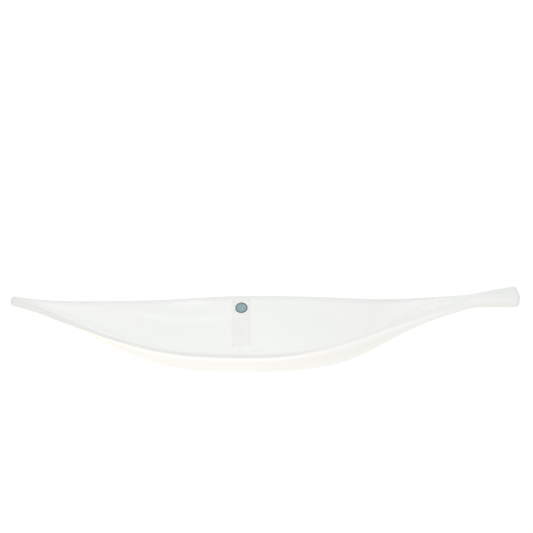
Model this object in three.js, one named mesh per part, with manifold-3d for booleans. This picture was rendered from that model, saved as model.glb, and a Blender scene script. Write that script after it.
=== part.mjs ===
// A leaf-shaped ceramic bowl: a blunt tip, an open trough and a flared stem, cast and fired
// in one piece, with a narrow clear label and a round seal stuck to the inside of one wall.
// Millimetres. X runs from the tip to the stem, Y across, Z up, and the foot stands on Z = 0.
import * as THREE from "three";
import { mergeVertices } from "three/addons/utils/BufferGeometryUtils.js";
import Module from "manifold-3d";

// Overall sizes: the beam is measured across the middle of the rim's roll
const LENGTH = 500;
const BEAM = 164.8;
const WIDEST_FROM_TIP = 235.4;
const WALL = 6;

// Tip: solid, with a rounded end
const TIP_WIDTH = 14.4;
const TIP_THICKNESS = 7.2;
const TIP_HEIGHT = 64.3;
const TIP_ROUND = 5;
const TIP_FADE = 70;

// Rim: the height of the edge where it hangs lowest, and how far that is from the tip
const RIM_HEIGHT = 39.1;
const RIM_LOW_FROM_TIP = 240.5;

// Stem: solid and oval, narrowest at the neck, with a rounded end. The trough's valley is filled
// before the neck.
const STEM_LENGTH = 43;
const NECK_WIDTH = 23;
const NECK_THICKNESS = 9.8;
const NECK_HEIGHT = 64.3;
const NECK_FADE = 115;
const NECK_FILL = 7;
const NECK_FILL_FADE = 52;
const STEM_END_WIDTH = 36;
const STEM_END_THICKNESS = 15.6;
const STEM_END_HEIGHT = 69.3;
const STEM_ROUND = 6;

// Keel and foot: the round bottom is ground flat, and hollowed to leave a ring to stand on
const KEEL_FROM_TIP = 205.1;
const KEEL_LENGTH = 41;
const FOOT_GRIND = 3;
const FOOT_RING = 6;
const FOOT_HOLLOW = 1.5;
const FLOOR_THICKNESS = 6;
const FLOOR_FADE = 60;

// Label and seal, laid on the inside of the wall that faces -Y
const LABEL_FROM_TIP = 226;
const LABEL_WIDTH = 18.5;
const LABEL_LENGTH = 70;
const LABEL_THICKNESS = 0.3;
const LABEL_BELOW_ROLL = 0.5;
const SEAL_DIAMETER = 12.5;
const SEAL_THICKNESS = 0.3;
const SEAL_BELOW_LABEL_TOP = 5;
const GLUE_LINE = 0.3;

// Fairness of the guide lines: the slope at an end, and the share of a span that keeps it
const TIP_SPREAD = 0.127;
const TIP_FALL = -0.205;
const KEEL_FALL = -0.187;
const NECK_CLOSE = -0.12;
const KEEL_RISE = 0.3;
const STEM_LIFT = 0.175;
const STEM_RISE = 0.175;
const PLAN_HOLD = { tip: 0.263, waist: 0.482, shoulder: 0.463, neck: 0.483 };
const RIM_HOLD = { tip: 0.613, front: 0.352, back: 0.5, neck: 0.248 };
const KEEL_HOLD = { tip: 0.399, front: 0.458, back: 0.603, neck: 0.556 };
const FADE_HOLD = { solid: 0.25, wall: 0.35 };
const STEM_HOLD = 0.35;

// Solid ends: how square the two ends and a solid section are, where 2 is an ellipse, how much
// of a solid section its edges round, and how far that section is cupped
const END_SQUARENESS = 3;
const SOLID_SQUARENESS = 2.6;
const EDGE_SHARE = 0.85;
const SOLID_CUP = 0.5;

// Steps of the faceted surfaces
const TIP_STATIONS = 34;
const NECK_STATIONS = 32;
const STEM_STATIONS = 16;
const WALL_STEPS = 20;
const EDGE_STEPS = 4;
const FOOT_STEPS = 24;
const LABEL_STEPS = 18;
const SEAL_STEPS = 8;

const wasm = await Module();
wasm.setup();

const xTip = -LENGTH / 2;
const xEnd = LENGTH / 2;
const xWidest = xTip + WIDEST_FROM_TIP;
const xRimLow = xTip + RIM_LOW_FROM_TIP;
const xNeck = xEnd - STEM_LENGTH;
const xKeelFront = xTip + KEEL_FROM_TIP;
const xKeelBack = xKeelFront + KEEL_LENGTH;
const xWallFront = xTip + TIP_FADE;
const xWallBack = xNeck - NECK_FADE;
const xFill = xNeck - NECK_FILL_FADE;
const keelHeight = WALL / 2 - FOOT_GRIND;

// A fair curve between two points, which holds its slope at each end for a share of the span.
function fair([x0, y0], [slope0, hold0], [slope1, hold1], [x1, y1]) {
  const run0 = hold0 * (x1 - x0);
  const run1 = hold1 * (x1 - x0);
  return new THREE.CubicBezierCurve(
    new THREE.Vector2(x0, y0),
    new THREE.Vector2(x0 + run0, y0 + slope0 * run0),
    new THREE.Vector2(x1 - run1, y1 - slope1 * run1),
    new THREE.Vector2(x1, y1),
  );
}

// The point of a curve where one coordinate, which only rises or only falls, has a value.
function pointWhere(curve, axis, value) {
  const rises = curve.v3[axis] > curve.v0[axis];
  let low = 0;
  let high = 1;
  for (let halving = 0; halving < 40; halving += 1) {
    const middle = (low + high) / 2;
    if (curve.getPoint(middle)[axis] < value === rises) low = middle;
    else high = middle;
  }
  return curve.getPoint(low);
}

// The height of a guide line at x, where the line is a row of curves from the tip to the end.
function lineAt(line, x) {
  const curve = line.find((span) => x <= span.v3.x) ?? line.at(-1);
  return pointWhere(curve, "x", x).y;
}

// A straight stretch of a guide line, with its inner points spaced evenly.
function straight([x0, y0], [x1, y1]) {
  const third = 1 / 3;
  const slope = (y1 - y0) / (x1 - x0);
  return fair([x0, y0], [slope, third], [slope, third], [x1, y1]);
}

// Half the width in plan, the height of the edge, the height of the wall's middle on the
// centre line, and the thickness of the wall.
const planLine = [
  fair([xTip, TIP_WIDTH / 2], [TIP_SPREAD, PLAN_HOLD.tip], [0, PLAN_HOLD.waist], [xWidest, BEAM / 2]),
  fair([xWidest, BEAM / 2], [0, PLAN_HOLD.shoulder], [NECK_CLOSE, PLAN_HOLD.neck], [xNeck, NECK_WIDTH / 2]),
  straight([xNeck, NECK_WIDTH / 2], [xEnd, STEM_END_WIDTH / 2]),
];
const rimLine = [
  fair([xTip, TIP_HEIGHT], [TIP_FALL, RIM_HOLD.tip], [0, RIM_HOLD.front], [xRimLow, RIM_HEIGHT]),
  fair([xRimLow, RIM_HEIGHT], [0, RIM_HOLD.back], [0, RIM_HOLD.neck], [xNeck, NECK_HEIGHT]),
  fair([xNeck, NECK_HEIGHT], [STEM_LIFT, STEM_HOLD], [STEM_RISE, STEM_HOLD], [xEnd, STEM_END_HEIGHT]),
];
const keelLine = [
  fair(
    [xTip, TIP_HEIGHT - SOLID_CUP],
    [KEEL_FALL, KEEL_HOLD.tip],
    [0, KEEL_HOLD.front],
    [xKeelFront, keelHeight],
  ),
  straight([xKeelFront, keelHeight], [xKeelBack, keelHeight]),
  fair(
    [xKeelBack, keelHeight],
    [0, KEEL_HOLD.back],
    [KEEL_RISE, KEEL_HOLD.neck],
    [xNeck, NECK_HEIGHT - SOLID_CUP],
  ),
  fair(
    [xNeck, NECK_HEIGHT - SOLID_CUP],
    [STEM_LIFT, STEM_HOLD],
    [STEM_RISE, STEM_HOLD],
    [xEnd, STEM_END_HEIGHT - SOLID_CUP],
  ),
];
const thicknessLine = [
  fair([xTip, TIP_THICKNESS], [0, FADE_HOLD.solid], [0, FADE_HOLD.wall], [xWallFront, WALL]),
  straight([xWallFront, WALL], [xWallBack, WALL]),
  fair([xWallBack, WALL], [0, FADE_HOLD.wall], [0, FADE_HOLD.solid], [xNeck, NECK_THICKNESS]),
  straight([xNeck, NECK_THICKNESS], [xEnd, STEM_END_THICKNESS]),
];

// The rise of a rounded corner, from 0 to 1, at a share of the corner's run.
function cornerRound(share) {
  const rest = 1 - Math.min(share, 1);
  return (1 - rest ** END_SQUARENESS) ** (1 / END_SQUARENESS);
}

// How far a section is drawn in to round the two ends of the body, from 0 at an end to 1.
function endRound(x) {
  return cornerRound((x - xTip) / TIP_ROUND) * cornerRound((xEnd - x) / STEM_ROUND);
}

// The wall's section at x: an arc from edge to edge, whose edges are rounded over a run that
// grows until the section is a solid oval at the tip and the stem.
function sectionAt(x) {
  const drawnIn = endRound(x);
  const halfWidth = lineAt(planLine, x) * drawnIn;
  const thickness = lineAt(thicknessLine, x) * drawnIn;
  const middle = lineAt(keelLine, x);
  const cup = (lineAt(rimLine, x) - middle) * drawnIn;
  const bend = 2 * Math.atan(cup / halfWidth);
  const radius = halfWidth / Math.sin(bend);
  const arc = radius * bend;
  const solidTip = 1 - THREE.MathUtils.smoothstep(x, xTip, xWallFront);
  const solidNeck = THREE.MathUtils.smoothstep(x, xWallBack, xNeck);
  const solid = Math.max(solidTip, solidNeck);
  const roundness = 2 / THREE.MathUtils.lerp(2, SOLID_SQUARENESS, solid);
  const longestRun = EDGE_SHARE * arc;
  const edgeRun = Math.min(THREE.MathUtils.lerp(thickness / 2, longestRun, solid), longestRun);
  const floorFront = THREE.MathUtils.smoothstep(x, xKeelFront - FLOOR_FADE, xKeelFront);
  const floorBack = 1 - THREE.MathUtils.smoothstep(x, xKeelBack, xKeelBack + FLOOR_FADE);
  const fillFront = THREE.MathUtils.smoothstep(x, xFill - NECK_FILL_FADE, xFill);
  const fillBack = 1 - THREE.MathUtils.smoothstep(x, xFill, xNeck);
  const floorFill = (FLOOR_THICKNESS + FOOT_GRIND - WALL) * floorFront * floorBack;
  const fill = floorFill + NECK_FILL * fillFront * fillBack;
  return { x, thickness, middle, bend, radius, arc, edgeRun, roundness, fill };
}

// A point at a share of the arc, from -1 to 1, and a distance inside the wall's middle.
function wallPoint(section, share, inside) {
  const angle = section.bend * share;
  const reach = section.radius - inside;
  const centre = section.middle + section.radius;
  return new THREE.Vector3(section.x, reach * Math.sin(angle), centre - reach * Math.cos(angle));
}

// How much the inside is thickened at a share of the arc: most over the keel, not at the edge.
function filled(section, share) {
  return section.fill * (1 - share ** 2) ** 2;
}

// How far the inner surface lies from the wall's middle, below the edge's rounding.
function innerDepth(section, share) {
  return section.thickness / 2 + filled(section, share);
}

// A point on the rounded edge, where turn runs from 0 on the outside to pi on the inside.
function edgePoint(section, side, turn) {
  const flat = 1 - section.edgeRun / section.arc;
  const share = flat + (1 - flat) * Math.sin(turn) ** section.roundness;
  const across = Math.abs(Math.cos(turn)) ** section.roundness * (section.thickness / 2);
  const inside = Math.cos(turn) > 0 ? -across : across + filled(section, share);
  return wallPoint(section, side * share, inside);
}

// A section's outline: along the outside, round one edge, back inside, round the other edge.
function sectionLoop(section) {
  const flat = 1 - section.edgeRun / section.arc;
  const loop = [];
  for (const side of [1, -1]) {
    for (let step = 0; step <= WALL_STEPS; step += 1) {
      const share = side * flat * ((2 * step) / WALL_STEPS - 1);
      const inside = side > 0 ? -section.thickness / 2 : innerDepth(section, share);
      loop.push(wallPoint(section, share, inside));
    }
    for (let step = 1; step < 2 * EDGE_STEPS; step += 1) {
      const turned = (Math.PI * step) / (2 * EDGE_STEPS);
      loop.push(edgePoint(section, side, side > 0 ? turned : Math.PI - turned));
    }
  }
  return loop;
}

// A geometry from points and from triangles given as three point numbers each.
function geometryOf(points, triangles) {
  const geometry = new THREE.BufferGeometry().setFromPoints(points);
  geometry.setIndex(triangles.flat());
  return geometry;
}

// A closed skin over a row of loops, with a point closing each end.
function loft(loops, firstPoint, lastPoint) {
  const around = loops[0].length;
  const points = [firstPoint, ...loops.flat(), lastPoint];
  const last = points.length - 1;
  const triangles = [];
  for (let step = 0; step < around; step += 1) {
    const next = (step + 1) % around;
    const lastLoop = last - around;
    triangles.push([0, 1 + next, 1 + step], [last, lastLoop + step, lastLoop + next]);
    for (let row = 0; row + 1 < loops.length; row += 1) {
      const here = 1 + row * around;
      const ahead = here + around;
      triangles.push([here + step, here + next, ahead + next], [here + step, ahead + next, ahead + step]);
    }
  }
  return geometryOf(points, triangles);
}

// A geometry as a solid that can be cut, and a solid as a geometry.
function solidOf(geometry) {
  const bare = geometry.clone();
  bare.deleteAttribute("normal");
  bare.deleteAttribute("uv");
  const merged = mergeVertices(bare);
  const mesh = new wasm.Mesh({
    numProp: 3,
    vertProperties: merged.attributes.position.array,
    triVerts: new Uint32Array(merged.index.array),
  });
  return new wasm.Manifold(mesh);
}

function geometryOfSolid(solid) {
  const mesh = solid.getMesh();
  const geometry = new THREE.BufferGeometry();
  geometry.setAttribute("position", new THREE.BufferAttribute(mesh.vertProperties, 3));
  geometry.setIndex(new THREE.BufferAttribute(mesh.triVerts, 1));
  return geometry;
}

// Half the width of the flat that grinding the round bottom leaves at x.
function footHalfWidth(x) {
  const section = sectionAt(x);
  const outside = section.radius + section.thickness / 2;
  const rise = section.radius + section.middle;
  return Math.sqrt(Math.max(outside ** 2 - rise ** 2, 0));
}

// The hollow under the foot: the outline of the flat, drawn in by the ring, and a little deep.
function footHollow() {
  const front = pointWhere(keelLine[0], "y", WALL / 2).x;
  const back = pointWhere(keelLine[2], "y", WALL / 2).x;
  const centre = (front + back) / 2;
  const halfLength = (back - front) / 2;
  const halfWidth = footHalfWidth((xKeelFront + xKeelBack) / 2);
  const lengthShare = 1 - FOOT_RING / halfLength;
  const widthShare = 1 - FOOT_RING / halfWidth;
  const side = [];
  for (let step = 0; step <= FOOT_STEPS; step += 1) {
    const along = -halfLength * Math.cos((Math.PI * step) / FOOT_STEPS);
    const across = footHalfWidth(centre + along) * widthShare;
    side.push(new THREE.Vector2(centre + along * lengthShare, -across));
  }
  const otherSide = side.slice(1, -1).reverse();
  const outline = new THREE.Shape([...side, ...otherSide.map(({ x, y }) => new THREE.Vector2(x, -y))]);
  const hollow = new THREE.ExtrudeGeometry(outline, { depth: FOOT_GRIND + FOOT_HOLLOW, bevelEnabled: false });
  return hollow.translate(0, 0, -FOOT_GRIND);
}

// Places from x0 to x1, set closer towards both, without the first.
function spaced(x0, x1, steps) {
  const places = [];
  for (let step = 1; step <= steps; step += 1) {
    places.push(THREE.MathUtils.lerp(x0, x1, (1 - Math.cos((Math.PI * step) / steps)) / 2));
  }
  return places;
}

// The body: sections from the tip to the stem's end, skinned, then ground flat and hollowed.
function bowlBody() {
  const toWidest = spaced(xTip, xWidest, TIP_STATIONS);
  const toNeck = spaced(xWidest, xNeck, NECK_STATIONS);
  const toEnd = spaced(xNeck, xEnd, STEM_STATIONS).slice(0, -1);
  const loops = [...toWidest, ...toNeck, ...toEnd].map((x) => sectionLoop(sectionAt(x)));
  const tipPoint = new THREE.Vector3(xTip, 0, TIP_HEIGHT - SOLID_CUP);
  const endPoint = new THREE.Vector3(xEnd, 0, STEM_END_HEIGHT - SOLID_CUP);
  const shell = solidOf(loft(loops, tipPoint, endPoint));
  const ground = new THREE.BoxGeometry(LENGTH, BEAM, 2 * FOOT_GRIND).translate(0, 0, -FOOT_GRIND);
  return geometryOfSolid(shell.subtract(solidOf(ground)).subtract(solidOf(footHollow())));
}

// A point over the inner wall, given by x, a distance below the end of the edge's rounding
// and a height off the wall.
function overWall(x, below, height) {
  const section = sectionAt(x);
  const share = 1 - (section.edgeRun + below) / section.arc;
  return wallPoint(section, share, innerDepth(section, share) + height);
}

// A thin sheet on the inner wall. place gives x and the distance below the edge's rounding
// for two shares, each from -1 to 1, across the sheet and down it.
function sheetOnWall(place, steps, height, thickness) {
  const row = steps + 1;
  const points = [];
  for (const layer of [height, height + thickness]) {
    for (let down = 0; down <= steps; down += 1) {
      for (let across = 0; across <= steps; across += 1) {
        const { x, below } = place((2 * across) / steps - 1, (2 * down) / steps - 1);
        points.push(overWall(x, below, layer));
      }
    }
  }
  const topLayer = row * row;
  const triangles = [];
  const quad = (a, b, c, d) => triangles.push([a, b, c], [a, c, d]);
  for (let down = 0; down < steps; down += 1) {
    for (let across = 0; across < steps; across += 1) {
      const corner = down * row + across;
      const under = [corner, corner + 1, corner + row + 1, corner + row];
      quad(...under);
      quad(...under.map((point) => point + topLayer).reverse());
    }
  }
  for (let step = 0; step < steps; step += 1) {
    const rim = [
      [step + 1, step],
      [step * row, (step + 1) * row],
      [steps * row + step, steps * row + step + 1],
      [(step + 1) * row + steps, step * row + steps],
    ];
    rim.forEach(([from, to]) => quad(from, to, to + topLayer, from + topLayer));
  }
  return geometryOf(points, triangles);
}

const labelX = xTip + LABEL_FROM_TIP;

// The label: a narrow strip that hangs down the wall from just below the edge.
function labelStrip() {
  const place = (across, down) => ({
    x: labelX + (across * LABEL_WIDTH) / 2,
    below: LABEL_BELOW_ROLL + ((down + 1) * LABEL_LENGTH) / 2,
  });
  return sheetOnWall(place, LABEL_STEPS, GLUE_LINE, LABEL_THICKNESS);
}

// The seal: a disc stuck over the upper end of the label, whose grid is a square drawn round.
function labelSeal() {
  const radius = SEAL_DIAMETER / 2;
  const middle = LABEL_BELOW_ROLL + SEAL_BELOW_LABEL_TOP + radius;
  const place = (across, down) => ({
    x: labelX + radius * across * Math.sqrt(1 - down ** 2 / 2),
    below: middle + radius * down * Math.sqrt(1 - across ** 2 / 2),
  });
  return sheetOnWall(place, SEAL_STEPS, 2 * GLUE_LINE + LABEL_THICKNESS, SEAL_THICKNESS);
}

// A named mesh with its own finish.
function piece(name, geometry, finish) {
  const mesh = new THREE.Mesh(geometry, new THREE.MeshStandardMaterial({ metalness: 0, ...finish }));
  mesh.geometry.computeVertexNormals();
  mesh.name = name;
  return mesh;
}

const bowl = new THREE.Group();
bowl.add(
  piece("bowl_body", bowlBody(), { color: 0xf3f3ee, roughness: 0.15 }),
  piece("label_strip", labelStrip(), { color: 0xe9eeec, roughness: 0.3 }),
  piece("label_seal", labelSeal(), { color: 0x93a8b0, roughness: 0.35 }),
);

export default bowl;
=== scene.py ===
# A white serving bowl in the shape of a leaf, with a clear label and a round seal stuck inside it.
# Metres. X runs from the tip to the stem, Y across and Z up, and the bowl stands on Z = 0.
import math
from collections import namedtuple

import bmesh
import bpy
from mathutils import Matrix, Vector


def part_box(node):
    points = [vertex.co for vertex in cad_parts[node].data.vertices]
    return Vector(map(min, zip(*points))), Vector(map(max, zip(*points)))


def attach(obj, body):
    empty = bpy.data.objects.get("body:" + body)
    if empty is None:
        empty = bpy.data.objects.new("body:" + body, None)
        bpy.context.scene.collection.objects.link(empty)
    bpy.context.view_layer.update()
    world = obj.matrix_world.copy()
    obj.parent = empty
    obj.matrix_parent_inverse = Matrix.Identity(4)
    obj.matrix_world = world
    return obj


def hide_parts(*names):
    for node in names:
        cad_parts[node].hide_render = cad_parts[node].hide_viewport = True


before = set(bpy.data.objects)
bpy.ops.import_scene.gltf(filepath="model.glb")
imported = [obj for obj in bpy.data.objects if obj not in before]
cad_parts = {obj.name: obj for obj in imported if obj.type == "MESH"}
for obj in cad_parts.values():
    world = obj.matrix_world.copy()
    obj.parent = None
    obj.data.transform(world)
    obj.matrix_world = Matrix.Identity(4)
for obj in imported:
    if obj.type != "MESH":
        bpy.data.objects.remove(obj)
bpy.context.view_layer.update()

# The bowl
# One slip-cast stoneware shell, from the blunt tip through the open trough to the solid stem, dipped
# in white glaze and fired. Its round bottom is ground flat, hollowed, and bare on the ring it stands on.
BEAM = 0.1648
WIDEST_FROM_TIP = 0.2354
WALL = 0.006
TIP_WIDTH = 0.0144
TIP_THICKNESS = 0.0072
TIP_HEIGHT = 0.0643
TIP_ROUND = 0.005
TIP_FADE = 0.07
RIM_HEIGHT = 0.0391
RIM_LOW_FROM_TIP = 0.2405
STEM_LENGTH = 0.043
NECK_WIDTH = 0.023
NECK_THICKNESS = 0.0098
NECK_HEIGHT = 0.0643
NECK_FADE = 0.115
NECK_FILL = 0.007
NECK_FILL_FADE = 0.052
STEM_END_WIDTH = 0.036
STEM_END_THICKNESS = 0.0156
STEM_END_HEIGHT = 0.0693
STEM_ROUND = 0.006
KEEL_FROM_TIP = 0.2051
KEEL_LENGTH = 0.041
FOOT_GRIND = 0.003
FOOT_RING = 0.006
FOOT_HOLLOW = 0.0015
FOOT_SOFT = 0.0006
FLOOR_THICKNESS = 0.006
FLOOR_FADE = 0.060

# The slopes of the guide lines, and the shares of a stretch that they are held for
TIP_SPREAD = 0.127
TIP_FALL = -0.205
KEEL_FALL = -0.187
NECK_CLOSE = -0.12
KEEL_RISE = 0.3
STEM_LIFT = 0.175
STEM_RISE = 0.175
PLAN_HOLD = {"tip": 0.263, "waist": 0.482, "shoulder": 0.463, "neck": 0.483}
RIM_HOLD = {"tip": 0.613, "front": 0.352, "back": 0.5, "neck": 0.248}
KEEL_HOLD = {"tip": 0.399, "front": 0.458, "back": 0.603, "neck": 0.556}
FADE_HOLD = {"solid": 0.25, "wall": 0.35}
STEM_HOLD = 0.35
STRAIGHT_HOLD = 1 / 3
HALVINGS = 40

# The rounding of the ends and of the edges. A squareness of 2 is a circle or an ellipse.
CIRCLE_SQUARENESS = 2
END_SQUARENESS = 3
SOLID_SQUARENESS = 2.6
EDGE_SHARE = 0.85
SOLID_CUP = 0.0005
NECK_SOFT = 0.003

FRONT_STATIONS = 72
FOOT_STATIONS = 56
BACK_STATIONS = 80
STEM_STATIONS = 32
OUTSIDE_STEPS = 22
RIM_STEPS = 16
INSIDE_STEPS = 24
FOOT_COLUMNS = 10
BOWL_SHARP_ANGLE = 60

tip_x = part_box("bowl_body")[0].x
end_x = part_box("bowl_body")[1].x
widest_x = tip_x + WIDEST_FROM_TIP
rim_low_x = tip_x + RIM_LOW_FROM_TIP
neck_x = end_x - STEM_LENGTH
keel_front_x = tip_x + KEEL_FROM_TIP
keel_back_x = keel_front_x + KEEL_LENGTH
wall_front_x = tip_x + TIP_FADE
wall_back_x = neck_x - NECK_FADE
keel_height = WALL / 2 - FOOT_GRIND


def fair(start, leave, arrive, end):
    """The corners of a curve that leaves and arrives at a slope, each held for a share of the span."""
    span = end[0] - start[0]
    first = leave[1] * span
    last = arrive[1] * span
    along = (start[0], start[0] + first, end[0] - last, end[0])
    up = (start[1], start[1] + leave[0] * first, end[1] - arrive[0] * last, end[1])
    return along, up


def on_curve(corners, share):
    """One coordinate of a curve at a share of its run."""
    rest = 1 - share
    outer = rest**3 * corners[0] + share**3 * corners[3]
    return outer + 3 * rest * share * (rest * corners[1] + share * corners[2])


def share_where(corners, value):
    """Where along a curve one coordinate, which only rises or only falls, reaches a value."""
    rises = corners[3] > corners[0]
    low, high = 0.0, 1.0
    for _ in range(HALVINGS):
        middle = (low + high) / 2
        if (on_curve(corners, middle) < value) == rises:
            low = middle
        else:
            high = middle
    return low


def line_at(line, x):
    """The height of a guide line at x."""
    along, up = next((curve for curve in line if x <= curve[0][3]), line[-1])
    return on_curve(up, share_where(along, x))


def straight(start, end):
    """A straight stretch of a guide line."""
    slope = (end[1] - start[1]) / (end[0] - start[0])
    return fair(start, (slope, STRAIGHT_HOLD), (slope, STRAIGHT_HOLD), end)


widest_edge = (widest_x, BEAM / 2)
neck_edge = (neck_x, NECK_WIDTH / 2)
plan_line = [
    fair((tip_x, TIP_WIDTH / 2), (TIP_SPREAD, PLAN_HOLD["tip"]), (0, PLAN_HOLD["waist"]), widest_edge),
    fair(widest_edge, (0, PLAN_HOLD["shoulder"]), (NECK_CLOSE, PLAN_HOLD["neck"]), neck_edge),
    straight(neck_edge, (end_x, STEM_END_WIDTH / 2)),
]
rim_low = (rim_low_x, RIM_HEIGHT)
rim_neck = (neck_x, NECK_HEIGHT)
rim_line = [
    fair((tip_x, TIP_HEIGHT), (TIP_FALL, RIM_HOLD["tip"]), (0, RIM_HOLD["front"]), rim_low),
    fair(rim_low, (0, RIM_HOLD["back"]), (0, RIM_HOLD["neck"]), rim_neck),
    fair(rim_neck, (STEM_LIFT, STEM_HOLD), (STEM_RISE, STEM_HOLD), (end_x, STEM_END_HEIGHT)),
]
keel_tip = (tip_x, TIP_HEIGHT - SOLID_CUP)
keel_front = (keel_front_x, keel_height)
keel_back = (keel_back_x, keel_height)
keel_neck = (neck_x, NECK_HEIGHT - SOLID_CUP)
keel_end = (end_x, STEM_END_HEIGHT - SOLID_CUP)
keel_line = [
    fair(keel_tip, (KEEL_FALL, KEEL_HOLD["tip"]), (0, KEEL_HOLD["front"]), keel_front),
    straight(keel_front, keel_back),
    fair(keel_back, (0, KEEL_HOLD["back"]), (KEEL_RISE, KEEL_HOLD["neck"]), keel_neck),
    fair(keel_neck, (STEM_LIFT, STEM_HOLD), (STEM_RISE, STEM_HOLD), keel_end),
]
wall_front = (wall_front_x, WALL)
wall_back = (wall_back_x, WALL)
neck_wall = (neck_x, NECK_THICKNESS)
thickness_line = [
    fair((tip_x, TIP_THICKNESS), (0, FADE_HOLD["solid"]), (0, FADE_HOLD["wall"]), wall_front),
    straight(wall_front, wall_back),
    fair(wall_back, (0, FADE_HOLD["wall"]), (0, FADE_HOLD["solid"]), neck_wall),
    straight(neck_wall, (end_x, STEM_END_THICKNESS)),
]


def ease(value, start, end):
    """A smooth rise from 0 at start to 1 at end."""
    share = min(max((value - start) / (end - start), 0), 1)
    return share * share * (3 - 2 * share)


def corner_round(share):
    """The rise of a rounded corner, from 0 to 1, at a share of the corner's run."""
    rest = 1 - min(max(share, 0), 1)
    return (1 - rest**END_SQUARENESS) ** (1 / END_SQUARENESS)


def end_round(x):
    """How far a section is drawn in to round the tip and the stem's end, from 0 at an end to 1."""
    return corner_round((x - tip_x) / TIP_ROUND) * corner_round((end_x - x) / STEM_ROUND)


Section = namedtuple("Section", "x thickness middle bend radius arc roll roundness fill")
SMALLEST = 1e-9


def tip_solid(x):
    """How far the section has closed to the tip's solid oval, from 0 to 1."""
    return 1 - ease(x, tip_x, wall_front_x)


def neck_solid(x):
    """How far the section has closed to the stem's solid oval, from 0 to 1."""
    return ease(x, wall_back_x, neck_x)


def section_at(x):
    """The wall's section at x: an arc from rim to rim, whose edges are rounded over the roll."""
    drawn_in = max(end_round(x), SMALLEST)
    half_width = line_at(plan_line, x) * drawn_in
    thickness = line_at(thickness_line, x) * drawn_in
    middle = line_at(keel_line, x)
    cup = (line_at(rim_line, x) - middle) * drawn_in
    bend = 2 * math.atan(cup / half_width)
    radius = half_width / math.sin(bend)
    arc = radius * bend
    solid = max(tip_solid(x), neck_solid(x))
    roundness = 2 / (CIRCLE_SQUARENESS + (SOLID_SQUARENESS - CIRCLE_SQUARENESS) * solid)
    longest = EDGE_SHARE * arc
    roll = min(thickness / 2 + (longest - thickness / 2) * solid, longest)
    floor_share = ease(x, keel_front_x - FLOOR_FADE, keel_front_x)
    floor_share *= 1 - ease(x, keel_back_x, keel_back_x + FLOOR_FADE)
    fill_x = neck_x - NECK_FILL_FADE
    neck_share = ease(x, fill_x - NECK_FILL_FADE, fill_x) * (1 - ease(x, fill_x, neck_x))
    fill = (FLOOR_THICKNESS + FOOT_GRIND - WALL) * floor_share + NECK_FILL * neck_share
    return Section(x, thickness, middle, bend, radius, arc, roll, roundness, fill)


def wall_point(section, share, inside):
    """A point at a share of the arc, from -1 to 1, and a distance inside the wall's middle."""
    angle = section.bend * share
    reach = section.radius - inside
    height = section.middle + section.radius - reach * math.cos(angle)
    return section.x, reach * math.sin(angle), height


def filled(section, share):
    """How much the inside is thickened at a share of the arc: most over the keel, and not at the rim."""
    return section.fill * (1 - share**2) ** 2


def inner_depth(section, share):
    """How far the inner surface lies from the wall's middle, below the rim's roll."""
    return section.thickness / 2 + filled(section, share)


def foot_angle(section):
    """The angle from the keel at which the outside meets the ground, or 0 where it stays clear of it."""
    outside = section.radius + section.thickness / 2
    return math.acos(min((section.middle + section.radius) / outside, 1))


def half_section(section, side):
    """Points from the keel, or the foot's edge, round the rim to the middle of the floor, on one side."""
    flat = 1 - section.roll / section.arc
    start = foot_angle(section) / section.bend
    half_wall = section.thickness / 2
    points = []
    for step in range(OUTSIDE_STEPS + 1):
        share = start + (flat - start) * step / OUTSIDE_STEPS
        points.append(wall_point(section, side * share, -half_wall))
    for step in range(1, RIM_STEPS):
        turn = math.pi * step / RIM_STEPS
        share = flat + (1 - flat) * math.sin(turn) ** section.roundness
        inside = -half_wall * math.copysign(abs(math.cos(turn)) ** section.roundness, math.cos(turn))
        if inside > 0:
            inside += filled(section, share)
        points.append(wall_point(section, side * share, inside))
    for step in range(INSIDE_STEPS + 1):
        share = flat * (1 - step / INSIDE_STEPS)
        points.append(wall_point(section, side * share, inner_depth(section, share)))
    return points


# Painted shade and dark reflection grey the glaze over the rim and on the solid ends, and painted light
# makes it paler under the rim. The widths with IN and OUT in their names are those the painted rim shade
# spreads over, inside and outside the rim's edge. START, FULL, FADE and END, of the deeper painted shade
# under the tip and the back, are distances counted in those widths.
NEAR_SHADE_IN = 0.0014
FAR_SHADE_IN = 0.008
TIP_SHADE_IN = 0.016
TIP_SHADE_RUN = 0.1
NECK_SHADE_IN = 0.008
RIM_SHADE_OUT = 0.0026
TIP_SHADE_OUT = 0.009
STEM_SHADE_OUT = 0.005
BACK_EDGE_SHADE = 0.6
BACK_RIM_LIGHT = 0.25
BACK_LENGTH = 0.09
TIP_SHADE = 0.8
NECK_SHADE = 0.3
STEM_SHADE = 0.6
SHADE_STEEPNESS = 3
END_SHADE_RUN = 0.0065
UNDER_TIP_SHADE = 0.7
UNDER_TIP_FULL = 0.3
UNDER_BACK_SHADE = 0.12
UNDER_BACK_START = 1.25
UNDER_BACK_FULL = 4
UNDER_BACK_FADE = 5
UNDER_BACK_END = 12


def between_sizes(first, second, share):
    """A size that goes from one to another."""
    return first + (second - first) * share


def towards_stem(x):
    """How far along the back half a section lies, from 0 at the lowest rim to 1 before the neck."""
    return ease(x, rim_low_x, rim_low_x + BACK_LENGTH)


def along_stem(x):
    """How far along the stem a section lies, from 0 at the neck to 1 from half the stem's length on."""
    return ease(x, neck_x, neck_x + STEM_LENGTH / 2)


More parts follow.
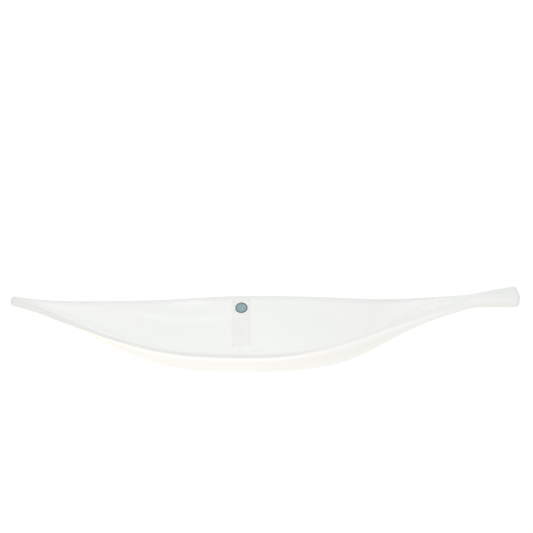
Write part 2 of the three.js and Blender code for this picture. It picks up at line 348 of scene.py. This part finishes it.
def edge_distances(section, points, side):
    """Distances from the rim's edge, below 0 outside, counted in the widths that the painted rim shade
    spreads over.
    """
    x = section.x
    rim_in = FAR_SHADE_IN if side > 0 else NEAR_SHADE_IN
    shade_in = between_sizes(rim_in, NECK_SHADE_IN, neck_solid(x))
    shade_in = between_sizes(TIP_SHADE_IN, shade_in, ease(x, tip_x, tip_x + TIP_SHADE_RUN))
    shade_out = between_sizes(RIM_SHADE_OUT, TIP_SHADE_OUT, tip_solid(x))
    shade_out = between_sizes(shade_out, STEM_SHADE_OUT, along_stem(x))
    edge = wall_point(section, side, 0)
    inner_start = OUTSIDE_STEPS + RIM_STEPS // 2
    distances = [math.dist(point, edge) for point in points]
    outer = [-distance / shade_out for distance in distances[:inner_start]]
    inner = [distance / shade_in for distance in distances[inner_start:]]
    return outer + inner


def solid_end_shade(x):
    """How strong the painted shade is all over the solid ends."""
    at_tip = TIP_SHADE * tip_solid(x) ** SHADE_STEEPNESS
    at_neck = between_sizes(NECK_SHADE, STEM_SHADE, along_stem(x)) * neck_solid(x) ** SHADE_STEEPNESS
    return max(at_tip, at_neck)


def edge_shade_strength(x, side):
    """How strong the painted shade over the rim is: less towards the stem on the near side."""
    return 1 if side > 0 else between_sizes(1, BACK_EDGE_SHADE, towards_stem(x))


def rim_light_strength(x):
    """How strong the painted light under the rim is: less towards the stem, and not on the solid ends."""
    return between_sizes(1, BACK_RIM_LIGHT, towards_stem(x)) * (1 - max(tip_solid(x), neck_solid(x)))


def deep_shade_strength(x, distance):
    """How strong the deeper painted shade is: at the very ends, on the tip's underside, and a little under
    the back half.
    """
    at_end = 1 - ease(min(x - tip_x, end_x - x), 0, END_SHADE_RUN)
    under_tip = UNDER_TIP_SHADE * tip_solid(x) * ease(-distance, 0, UNDER_TIP_FULL)
    under_back = UNDER_BACK_SHADE * towards_stem(x) * ease(-distance, UNDER_BACK_START, UNDER_BACK_FULL)
    under_back *= 1 - ease(-distance, UNDER_BACK_FADE, UNDER_BACK_END)
    return max(at_end, under_tip, under_back)


def spaced(start, end, steps):
    """Values from start to end, set closer towards both."""
    turns = [math.pi * step / steps for step in range(steps + 1)]
    return [start + (end - start) * (1 - math.cos(turn)) / 2 for turn in turns]


def skin(bm, rows):
    """Quads between each row of vertices and the next."""
    for row, ahead in zip(rows, rows[1:]):
        for corner in range(len(row) - 1):
            bm.faces.new((row[corner], row[corner + 1], ahead[corner + 1], ahead[corner]))


def finished_object(name, bm, sharp_angle):
    """A smooth-shaded object from a closed skin, with its edges kept sharp above an angle in degrees."""
    weld = 1e-7
    bmesh.ops.remove_doubles(bm, verts=bm.verts, dist=weld)
    bmesh.ops.dissolve_degenerate(bm, edges=bm.edges, dist=weld)
    bmesh.ops.recalc_face_normals(bm, faces=bm.faces)
    mesh = bpy.data.meshes.new(name)
    bm.to_mesh(mesh)
    bm.free()
    mesh.shade_smooth()
    mesh.set_sharp_from_angle(angle=math.radians(sharp_angle))
    made = bpy.data.objects.new(name, mesh)
    bpy.context.scene.collection.objects.link(made)
    return made


bowl_skin = bmesh.new()
from_edge = bowl_skin.verts.layers.float.new("from_edge")
edge_shade = bowl_skin.verts.layers.float.new("edge_shade")
rim_light = bowl_skin.verts.layers.float.new("rim_light")
solid_shade = bowl_skin.verts.layers.float.new("solid_shade")
deep_shade = bowl_skin.verts.layers.float.new("deep_shade")
bare_clay = bowl_skin.verts.layers.float.new("bare_clay")
falling_along, falling_height = keel_line[0]
rising_along, rising_height = keel_line[2]
foot_front_x = on_curve(falling_along, share_where(falling_height, WALL / 2))
foot_back_x = on_curve(rising_along, share_where(rising_height, WALL / 2))
stations = spaced(tip_x, foot_front_x, FRONT_STATIONS)
stations += spaced(foot_front_x, foot_back_x, FOOT_STATIONS)[1:]
stations += spaced(foot_back_x, neck_x, BACK_STATIONS)[1:]
stations += spaced(neck_x, end_x, STEM_STATIONS)[1:]
stations = [x for x in stations if abs(x - neck_x) > NECK_SOFT]
for side in (-1, 1):
    rows = []
    for x in stations:
        section = section_at(x)
        points = half_section(section, side)
        row = [bowl_skin.verts.new(point) for point in points]
        # Each vertex carries how strong the painted rim shade, the painted light under the rim, the
        # painted shade on the solid ends and the deeper painted shade are there.
        for corner, distance in zip(row, edge_distances(section, points, side)):
            corner[from_edge] = distance
            corner[edge_shade] = edge_shade_strength(x, side)
            corner[rim_light] = rim_light_strength(x)
            corner[solid_shade] = solid_end_shade(x)
            corner[deep_shade] = deep_shade_strength(x, distance)
        rows.append(row)
    skin(bowl_skin, rows)

# The foot's underside: rings drawn in from its outline, given as distances in and up, then the hollow
foot_centre = (foot_front_x + foot_back_x) / 2
foot_half_length = (foot_back_x - foot_front_x) / 2
foot_profile = [
    (0, 0),
    (FOOT_SOFT, 0),
    (FOOT_RING - FOOT_SOFT, 0),
    (FOOT_RING, FOOT_SOFT / 2),
    (FOOT_RING + FOOT_SOFT, FOOT_HOLLOW - FOOT_SOFT / 2),
    (FOOT_RING + 2 * FOOT_SOFT, FOOT_HOLLOW),
]


def foot_half_width(x):
    """Half the width of the ground flat at x."""
    section = section_at(x)
    return (section.radius + section.thickness / 2) * math.sin(foot_angle(section))


foot_widest = foot_half_width((keel_front_x + keel_back_x) / 2)
foot_stations = stations[FRONT_STATIONS : FRONT_STATIONS + FOOT_STATIONS + 1]


def foot_corner(x, across, inset, height):
    """A vertex under the foot: across runs from -1 to 1 over the outline drawn in by inset."""
    along = (x - foot_centre) * (1 - inset / foot_half_length)
    half_width = foot_half_width(x) * (1 - inset / foot_widest)
    corner = bowl_skin.verts.new((foot_centre + along, across * half_width, height))
    corner[from_edge] = 1
    corner[bare_clay] = 1 if FOOT_SOFT <= inset <= FOOT_RING - FOOT_SOFT else 0
    return corner


for side in (-1, 1):
    skin(bowl_skin, [[foot_corner(x, side, *ring) for ring in foot_profile] for x in foot_stations])
columns = [2 * column / FOOT_COLUMNS - 1 for column in range(FOOT_COLUMNS + 1)]
skin(bowl_skin, [[foot_corner(x, across, *foot_profile[-1]) for across in columns] for x in foot_stations])
bowl = finished_object("leaf_bowl", bowl_skin, BOWL_SHARP_ANGLE)

# The glaze's colours, gloss and grain, with painted shade and painted light in its colour. A grain is
# noise:
# its cells to a metre, the finer layers in it, and the part of its range that counts. The painted rim
# shade and the painted light under the rim are placed in widths, below 0 outside.
Grain = namedtuple("Grain", "cells layers low high", defaults=(0, 1))
GLAZE_WHITE = (0.885, 0.89, 0.882, 1)
GLAZE_POOLED = (0.875, 0.885, 0.874, 1)
# The next three colours are painted light and shade: a paler white for painted light under the rim, a grey
# for painted shade over the rim and the solid ends, and a darker grey for deeper painted shade.
PAINTED_RIM_LIGHT = (0.94, 0.945, 0.94, 1)
PAINTED_EDGE_SHADE = (0.745, 0.755, 0.74, 1)
PAINTED_DEEP_SHADE = (0.69, 0.70, 0.685, 1)
CLAY = (0.70, 0.66, 0.60, 1)
CLAY_PALE = (0.80, 0.77, 0.71, 1)
GLAZE_POOLS = Grain(cells=16, layers=2, low=0.35, high=0.7)
GLAZE_SHEEN = Grain(cells=45, layers=3, low=0.3, high=0.7)
GLAZE_WAVES = Grain(cells=22, layers=1)
GLAZE_PEEL = Grain(cells=420, layers=2)
CLAY_SPECKS = Grain(cells=700, layers=3)
GLAZE_ROUGHNESS = (0.08, 0.14)
CLAY_ROUGHNESS = 0.8
GLAZE_IOR = 1.5
WAVE_HEIGHT = 0.0004
PEEL_HEIGHT = 0.000012
SHADE_STARTS = -1.25
SHADE_FULL = -1
RIM_LIGHT_ENDS = -4
CLAY_LINE = (0.3, 0.7)

MIX_FACTOR = 0
MIX_FIRST = 6
MIX_SECOND = 7
MIX_RESULT = 2


def new_material(name):
    """A material with an empty node tree, and its shader."""
    material = bpy.data.materials.new(name)
    material.use_nodes = True
    tree = material.node_tree
    tree.nodes.clear()
    shader = tree.nodes.new("ShaderNodeBsdfPrincipled")
    output = tree.nodes.new("ShaderNodeOutputMaterial")
    tree.links.new(shader.outputs["BSDF"], output.inputs["Surface"])
    return material, tree, shader


def feed(tree, socket, value):
    """Links an output to a socket, or sets the socket to a plain value."""
    if isinstance(value, bpy.types.NodeSocket):
        tree.links.new(value, socket)
    else:
        socket.default_value = value


def noise(tree, grain):
    """A grain's noise in the object's own metres."""
    place = tree.nodes.new("ShaderNodeTexCoord")
    texture = tree.nodes.new("ShaderNodeTexNoise")
    texture.inputs["Scale"].default_value = grain.cells
    texture.inputs["Detail"].default_value = grain.layers
    tree.links.new(place.outputs["Object"], texture.inputs["Vector"])
    return texture.outputs["Fac"]


def painted(tree, name):
    """A value that was set on the mesh's vertices."""
    attribute = tree.nodes.new("ShaderNodeAttribute")
    attribute.attribute_name = name
    return attribute.outputs["Fac"]


def between(tree, factor, first, second, blend="MIX"):
    """A colour between two others, or one with a share of the other added to it."""
    mix = tree.nodes.new("ShaderNodeMix")
    mix.data_type = "RGBA"
    mix.blend_type = blend
    feed(tree, mix.inputs[MIX_FACTOR], factor)
    feed(tree, mix.inputs[MIX_FIRST], first)
    feed(tree, mix.inputs[MIX_SECOND], second)
    return mix.outputs[MIX_RESULT]


def ranged(tree, value, from_low, from_high, to_low, to_high):
    """A value moved from one range to another, and kept in it."""
    node = tree.nodes.new("ShaderNodeMapRange")
    node.interpolation_type = "SMOOTHSTEP"
    feed(tree, node.inputs["Value"], value)
    limits = {"From Min": from_low, "From Max": from_high, "To Min": to_low, "To Max": to_high}
    for name, number in limits.items():
        feed(tree, node.inputs[name], number)
    return node.outputs["Result"]


def grained(tree, grain, lowest, highest):
    """A value that a grain moves between two others."""
    return ranged(tree, noise(tree, grain), grain.low, grain.high, lowest, highest)


def worked(tree, operation, first, second=0):
    """Two values worked together, or one worked by itself."""
    node = tree.nodes.new("ShaderNodeMath")
    node.operation = operation
    feed(tree, node.inputs[0], first)
    feed(tree, node.inputs[1], second)
    return node.outputs["Value"]


def raised(tree, height, distance, under=None):
    """A bump of a real height in metres, over another bump if one is given."""
    bump = tree.nodes.new("ShaderNodeBump")
    bump.inputs["Distance"].default_value = distance
    tree.links.new(height, bump.inputs["Height"])
    if under is not None:
        tree.links.new(under, bump.inputs["Normal"])
    return bump.outputs["Normal"]


glaze, tree, shader = new_material("white_glaze")
rim_distance = painted(tree, "from_edge")
colour = between(tree, grained(tree, GLAZE_POOLS, 0, 1), GLAZE_WHITE, GLAZE_POOLED)
# Painted light: a paler band on the outside just under the rim's edge.
rim_light_band = ranged(tree, rim_distance, RIM_LIGHT_ENDS, SHADE_STARTS, 0, 1)
rim_light_band = ranged(tree, rim_distance, SHADE_STARTS, SHADE_FULL, rim_light_band, 0)
rim_light_band = worked(tree, "MULTIPLY", rim_light_band, painted(tree, "rim_light"))
colour = between(tree, rim_light_band, colour, PAINTED_RIM_LIGHT)
# Painted shade and dark reflection: the glaze is greyed over the rim's edge and, by the vertex values, all
# over the solid ends.
outer_edge = ranged(tree, rim_distance, SHADE_STARTS, SHADE_FULL, 0, 1)
rim_shade_share = ranged(tree, rim_distance, 0, 1, outer_edge, 0)
rim_shade_share = worked(tree, "MULTIPLY", rim_shade_share, painted(tree, "edge_shade"))
shade_share = worked(tree, "MAXIMUM", rim_shade_share, painted(tree, "solid_shade"))
colour = between(tree, shade_share, colour, PAINTED_EDGE_SHADE)
# Deeper painted shade: greyer still at the very ends, under the tip and a little under the back half.
colour = between(tree, painted(tree, "deep_shade"), colour, PAINTED_DEEP_SHADE)
clay_line = ranged(tree, painted(tree, "bare_clay"), *CLAY_LINE, 0, 1)
clay_colour = between(tree, noise(tree, CLAY_SPECKS), CLAY, CLAY_PALE)
feed(tree, shader.inputs["Base Color"], between(tree, clay_line, colour, clay_colour))
gloss = grained(tree, GLAZE_SHEEN, *GLAZE_ROUGHNESS)
feed(tree, shader.inputs["Roughness"], ranged(tree, clay_line, 0, 1, gloss, CLAY_ROUGHNESS))
waves = raised(tree, noise(tree, GLAZE_WAVES), WAVE_HEIGHT)
feed(tree, shader.inputs["Normal"], raised(tree, noise(tree, GLAZE_PEEL), PEEL_HEIGHT, waves))
shader.inputs["IOR"].default_value = GLAZE_IOR
bowl.data.materials.append(glaze)
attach(bowl, "root")
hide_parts("bowl_body")

# The label
# A narrow strip of clear self-adhesive film with rounded corners, pressed by hand onto the glaze inside
# the far wall, and hanging straight down from just under the rim's roll.
LABEL_FROM_TIP = 0.226
LABEL_WIDTH = 0.0185
LABEL_LENGTH = 0.070
LABEL_BELOW_ROLL = 0.0005
LABEL_CORNER = 0.0015
LABEL_THICKNESS = 0.0001
LABEL_LIFT = 0.00002
LABEL_COLUMNS = 12
LABEL_ROWS = 40
CORNER_ROWS = 6
STICKER_SHARP_ANGLE = 40
FILM = (0.92, 0.88, 0.855, 1)
FILM_PALE = (0.93, 0.90, 0.88, 1)
FILM_ALPHA = 0.06
FILM_EDGE_ALPHA = 0.14
FILM_EDGE = 0.003
FILM_CLOUDS = Grain(cells=120, layers=3, low=0.3, high=0.7)
FILM_SHEEN = Grain(cells=260, layers=2, low=0.3, high=0.7)
FILM_RIPPLES = Grain(cells=160, layers=2)
FILM_ROUGHNESS = (0.22, 0.34)
FILM_RIPPLE_HEIGHT = 0.000008

label_x = tip_x + LABEL_FROM_TIP


def over_wall(x, below, height):
    """A point inside the far wall, a distance below the rim's roll and a height off the glaze."""
    section = section_at(x)
    share = 1 - (section.roll + below) / section.arc
    return wall_point(section, share, inner_depth(section, share) + height)


def label_half_width(below_top):
    """Half the strip's width at a distance below its top, with its corners rounded."""
    from_end = min(below_top, LABEL_LENGTH - below_top, LABEL_CORNER)
    lost = LABEL_CORNER - math.sqrt(max(LABEL_CORNER**2 - (LABEL_CORNER - from_end) ** 2, 0))
    return LABEL_WIDTH / 2 - lost


corner_turns = [math.pi / 2 * row / CORNER_ROWS for row in range(CORNER_ROWS)]
corner_drops = [LABEL_CORNER * (1 - math.cos(turn)) for turn in corner_turns]
straight_run = LABEL_LENGTH - 2 * LABEL_CORNER
straight_drops = [LABEL_CORNER + straight_run * row / LABEL_ROWS for row in range(LABEL_ROWS + 1)]
label_drops = corner_drops + straight_drops + [LABEL_LENGTH - drop for drop in reversed(corner_drops)]
label_steps = [2 * column / LABEL_COLUMNS - 1 for column in range(LABEL_COLUMNS + 1)]
label_skin = bmesh.new()
film_edge = label_skin.verts.layers.float.new("film_edge")
sheets = []
for height in (LABEL_LIFT, LABEL_LIFT + LABEL_THICKNESS):
    sheet = []
    for drop in label_drops:
        half_width = label_half_width(drop)
        row = []
        for step in label_steps:
            place = over_wall(label_x + step * half_width, LABEL_BELOW_ROLL + drop, height)
            corner = label_skin.verts.new(place)
            corner[film_edge] = max(1 - (1 - abs(step)) * half_width / FILM_EDGE, 0)
            row.append(corner)
        sheet.append(row)
    skin(label_skin, sheet)
    sheets.append(sheet)
lower, upper = sheets
for row in (0, -1):
    skin(label_skin, [lower[row], upper[row]])
for column in (0, -1):
    skin(label_skin, [[row[column] for row in lower], [row[column] for row in upper]])
label = finished_object("label_film", label_skin, STICKER_SHARP_ANGLE)

film, tree, shader = new_material("clear_film")
cloudy = between(tree, grained(tree, FILM_CLOUDS, 0, 1), FILM, FILM_PALE)
clearness = ranged(tree, painted(tree, "film_edge"), 0, 1, FILM_ALPHA, FILM_EDGE_ALPHA)
ripples = raised(tree, noise(tree, FILM_RIPPLES), FILM_RIPPLE_HEIGHT)
feed(tree, shader.inputs["Base Color"], cloudy)
feed(tree, shader.inputs["Roughness"], grained(tree, FILM_SHEEN, *FILM_ROUGHNESS))
feed(tree, shader.inputs["Normal"], ripples)
feed(tree, shader.inputs["Alpha"], clearness)
label.data.materials.append(film)
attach(label, "root")
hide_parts("label_strip")

# The seal
# A round blue-grey paper seal, die-cut and pressed with a raised border, stuck over the upper end of the
# label. It has a plain field inside a plain dark border.
SEAL_DIAMETER = 0.0125
SEAL_THICKNESS = 0.0002
SEAL_BELOW_LABEL_TOP = 0.005
SEAL_BORDER = 0.0009
SEAL_SOFT = 0.00006
SEAL_TURNS = 64
SEAL_FIELD_RINGS = 6
SEAL_FIELD = (0.235, 0.34, 0.375, 1)
SEAL_FIELD_PALE = (0.32, 0.425, 0.45, 1)
SEAL_BORDER_TONE = (0.05, 0.09, 0.12, 1)
SEAL_BORDER_FADE = (0.80, 0.88)
SEAL_MOTTLE = Grain(cells=500, layers=3, low=0.35, high=0.65)
SEAL_SHEEN = Grain(cells=900, layers=2, low=0.3, high=0.7)
SEAL_FIBRES = Grain(cells=1500, layers=2)
SEAL_ROUGHNESS = (0.3, 0.45)
SEAL_FIBRE_HEIGHT = 0.00001

seal_radius = SEAL_DIAMETER / 2
seal_middle = LABEL_BELOW_ROLL + SEAL_BELOW_LABEL_TOP + seal_radius
seal_low = LABEL_LIFT + LABEL_THICKNESS
seal_high = seal_low + SEAL_THICKNESS
field_radius = seal_radius - SEAL_BORDER - SEAL_SOFT
seal_profile = [
    (0, seal_low),
    (seal_radius, seal_low),
    (seal_radius, seal_high - SEAL_SOFT),
    (seal_radius - SEAL_SOFT, seal_high),
    (seal_radius - SEAL_BORDER, seal_high),
]
field_shares = [1 - ring / SEAL_FIELD_RINGS for ring in range(SEAL_FIELD_RINGS + 1)]
seal_profile += [(field_radius * share, seal_high - SEAL_SOFT) for share in field_shares]
seal_skin = bmesh.new()
from_centre = seal_skin.verts.layers.float.new("from_centre")
rows = []
for turn in range(SEAL_TURNS + 1):
    angle = 2 * math.pi * (turn % SEAL_TURNS) / SEAL_TURNS
    row = []
    for radius, height in seal_profile:
        below = seal_middle - radius * math.cos(angle)
        place = over_wall(label_x + radius * math.sin(angle), below, height)
        corner = seal_skin.verts.new(place)
        corner[from_centre] = radius / seal_radius
        row.append(corner)
    rows.append(row)
skin(seal_skin, rows)
seal = finished_object("round_seal", seal_skin, STICKER_SHARP_ANGLE)

seal_paper, tree, shader = new_material("seal_paper")
field = between(tree, grained(tree, SEAL_MOTTLE, 0, 1), SEAL_FIELD, SEAL_FIELD_PALE)
border = ranged(tree, painted(tree, "from_centre"), *SEAL_BORDER_FADE, 0, 1)
feed(tree, shader.inputs["Base Color"], between(tree, border, field, SEAL_BORDER_TONE))
feed(tree, shader.inputs["Roughness"], grained(tree, SEAL_SHEEN, *SEAL_ROUGHNESS))
feed(tree, shader.inputs["Normal"], raised(tree, noise(tree, SEAL_FIBRES), SEAL_FIBRE_HEIGHT))
seal.data.materials.append(seal_paper)
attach(seal, "root")
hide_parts("label_seal")

# The studio floor
# A white light table. It looks plain white, and lights the underside of the bowl from below, most from
# the front and the left. Its middle lies behind the bowl, and it can be seen through from underneath.
TABLE_HALF = 8
TABLE_BACK = 3
TABLE_DROP = 0.0003
TABLE_WHITE = (1.03, 1.03, 1.03, 1)
TABLE_GLOW = (0.800, 0.799, 0.764, 1)
HALF_GLOW = (0.155, 0.155, 0.150, 1)
HALF_GLOW_FROM = 0.22
LEFT_GLOW = (0.121, 0.105, 0.064, 1)
LEFT_GLOW_RUN = 0.35
FRONT_GLOW = (0.152, 0.108, 0.157, 1)
FRONT_GLOW_NEAR = 0.02
FRONT_GLOW_FAR = 0.2
UPPER_SIDE = 1
LOWER_SIDE = 2


def added(tree, colour, share, more):
    """A colour with a share of another added to it."""
    return between(tree, share, colour, more, blend="ADD")


floor_mesh = bpy.data.meshes.new("studio_floor")
quarters = ((-1, -1), (1, -1), (1, 1), (-1, 1))
corners = [(x * TABLE_HALF, y * TABLE_HALF + TABLE_BACK, -TABLE_DROP) for x, y in quarters]
floor_mesh.from_pydata(corners, [], [(0, 1, 2, 3)])
floor = bpy.data.objects.new("studio_floor", floor_mesh)
bpy.context.scene.collection.objects.link(floor)
floor_light = bpy.data.materials.new("floor_light")
floor_light.use_nodes = True
tree = floor_light.node_tree
tree.nodes.clear()
place = tree.nodes.new("ShaderNodeTexCoord")
parts = tree.nodes.new("ShaderNodeSeparateXYZ")
tree.links.new(place.outputs["Object"], parts.inputs["Vector"])
near_half = ranged(tree, parts.outputs["Y"], 0, HALF_GLOW_FROM, 1, 0)
to_left = ranged(tree, parts.outputs["X"], -LEFT_GLOW_RUN, LEFT_GLOW_RUN, 1, 0)
to_front = ranged(tree, parts.outputs["Y"], -FRONT_GLOW_FAR, -FRONT_GLOW_NEAR, 1, 0)
light = added(tree, TABLE_GLOW, near_half, HALF_GLOW)
light = added(tree, light, to_left, LEFT_GLOW)
light = added(tree, light, to_front, FRONT_GLOW)
ray = tree.nodes.new("ShaderNodeLightPath")
glow = tree.nodes.new("ShaderNodeEmission")
tree.links.new(between(tree, ray.outputs["Is Camera Ray"], light, TABLE_WHITE), glow.inputs["Color"])
clear = tree.nodes.new("ShaderNodeBsdfTransparent")
geometry = tree.nodes.new("ShaderNodeNewGeometry")
one_sided = tree.nodes.new("ShaderNodeMixShader")
tree.links.new(geometry.outputs["Backfacing"], one_sided.inputs["Fac"])
tree.links.new(glow.outputs["Emission"], one_sided.inputs[UPPER_SIDE])
tree.links.new(clear.outputs["BSDF"], one_sided.inputs[LOWER_SIDE])
output = tree.nodes.new("ShaderNodeOutputMaterial")
tree.links.new(one_sided.outputs["Shader"], output.inputs["Surface"])
floor_mesh.materials.append(floor_light)

# The studio light
# A white room all round, with the most light from the ceiling and from the front, less from the two sides
# and the back, a white backdrop low behind the bowl, and two strip lights overhead that the glaze mirrors.
SKY_ALL = (0.270, 0.274, 0.273, 1)
SKY_HIGH = (0.489, 0.505, 0.492, 1)
SKY_FRONT = (0.524, 0.549, 0.535, 1)
SKY_BACK = (0.245, 0.273, 0.262, 1)
SKY_SIDES = (0.457, 0.404, 0.410, 1)
BACKDROP = (0.396, 0.384, 0.393, 1)
HIGH_FROM = 0.1
HIGH_TO = 0.75
BACKDROP_SIDE = 0.3
BACKDROP_MIDDLE = 0.9
BACKDROP_FULL_TO = 0.05
BACKDROP_TOP = 0.45
Strip = namedtuple("Strip", "left right middle half_width light")
STRIPS = [
    Strip(left=-0.02, right=0.55, middle=0.01, half_width=0.08, light=(1.1, 1.1, 1.1, 1)),
    Strip(left=0.15, right=0.42, middle=-0.385, half_width=0.04, light=(2, 2, 2, 1)),
]
STRIP_SOFT = 0.05

world = bpy.data.worlds.new("studio")
world.use_nodes = True
bpy.context.scene.world = world
tree = world.node_tree
tree.nodes.clear()
place = tree.nodes.new("ShaderNodeTexCoord")
parts = tree.nodes.new("ShaderNodeSeparateXYZ")
tree.links.new(place.outputs["Generated"], parts.inputs["Vector"])
light = added(tree, SKY_ALL, ranged(tree, parts.outputs["Z"], HIGH_FROM, HIGH_TO, 0, 1), SKY_HIGH)
light = added(tree, light, ranged(tree, parts.outputs["Y"], -1, 0, 1, 0), SKY_FRONT)
light = added(tree, light, ranged(tree, parts.outputs["Y"], 0, 1, 0, 1), SKY_BACK)
light = added(tree, light, ranged(tree, parts.outputs["X"], -1, 0, 1, 0), SKY_SIDES)
light = added(tree, light, ranged(tree, parts.outputs["X"], 0, 1, 0, 1), SKY_SIDES)
behind = ranged(tree, parts.outputs["Y"], BACKDROP_SIDE, BACKDROP_MIDDLE, 0, 1)
low_down = ranged(tree, parts.outputs["Z"], BACKDROP_FULL_TO, BACKDROP_TOP, 1, 0)
light = added(tree, light, worked(tree, "MULTIPLY", behind, low_down), BACKDROP)
for strip in STRIPS:
    right_of = ranged(tree, parts.outputs["X"], strip.left, strip.left + STRIP_SOFT, 0, 1)
    left_of = ranged(tree, parts.outputs["X"], strip.right - STRIP_SOFT, strip.right, 1, 0)
    along = worked(tree, "MULTIPLY", right_of, left_of)
    off_middle = worked(tree, "ABSOLUTE", worked(tree, "SUBTRACT", parts.outputs["Y"], strip.middle))
    across = ranged(tree, off_middle, 0, strip.half_width, 1, 0)
    light = added(tree, light, worked(tree, "MULTIPLY", along, across), strip.light)
ray = tree.nodes.new("ShaderNodeLightPath")
sky = tree.nodes.new("ShaderNodeBackground")
tree.links.new(between(tree, ray.outputs["Is Camera Ray"], light, TABLE_WHITE), sky.inputs["Color"])
output = tree.nodes.new("ShaderNodeOutputWorld")
tree.links.new(sky.outputs["Background"], output.inputs["Surface"])
bpy.context.scene.view_settings.view_transform = "Standard"

# The camera
# A long lens 1.5 m in front of the bowl and 0.6 m above the table. It looks over the near rim at the wall
# that carries the label, with the bowl below the middle of the picture.
EYE_DISTANCE = 1.6
EYE_RISE = math.radians(21)
EYE_SIDE = 0.001886
BOWL_MIDDLE = 0.032
AIM_OVER_BOWL = math.radians(2.291)
LENS = 108.88

camera = bpy.data.objects.new("camera", bpy.data.cameras.new("camera"))
bpy.context.scene.collection.objects.link(camera)
camera.data.lens = LENS
eye_height = BOWL_MIDDLE + EYE_DISTANCE * math.sin(EYE_RISE)
camera.location = (EYE_SIDE, -EYE_DISTANCE * math.cos(EYE_RISE), eye_height)
camera.rotation_euler = (math.pi / 2 - EYE_RISE + AIM_OVER_BOWL, 0, 0)
bpy.context.scene.camera = camera
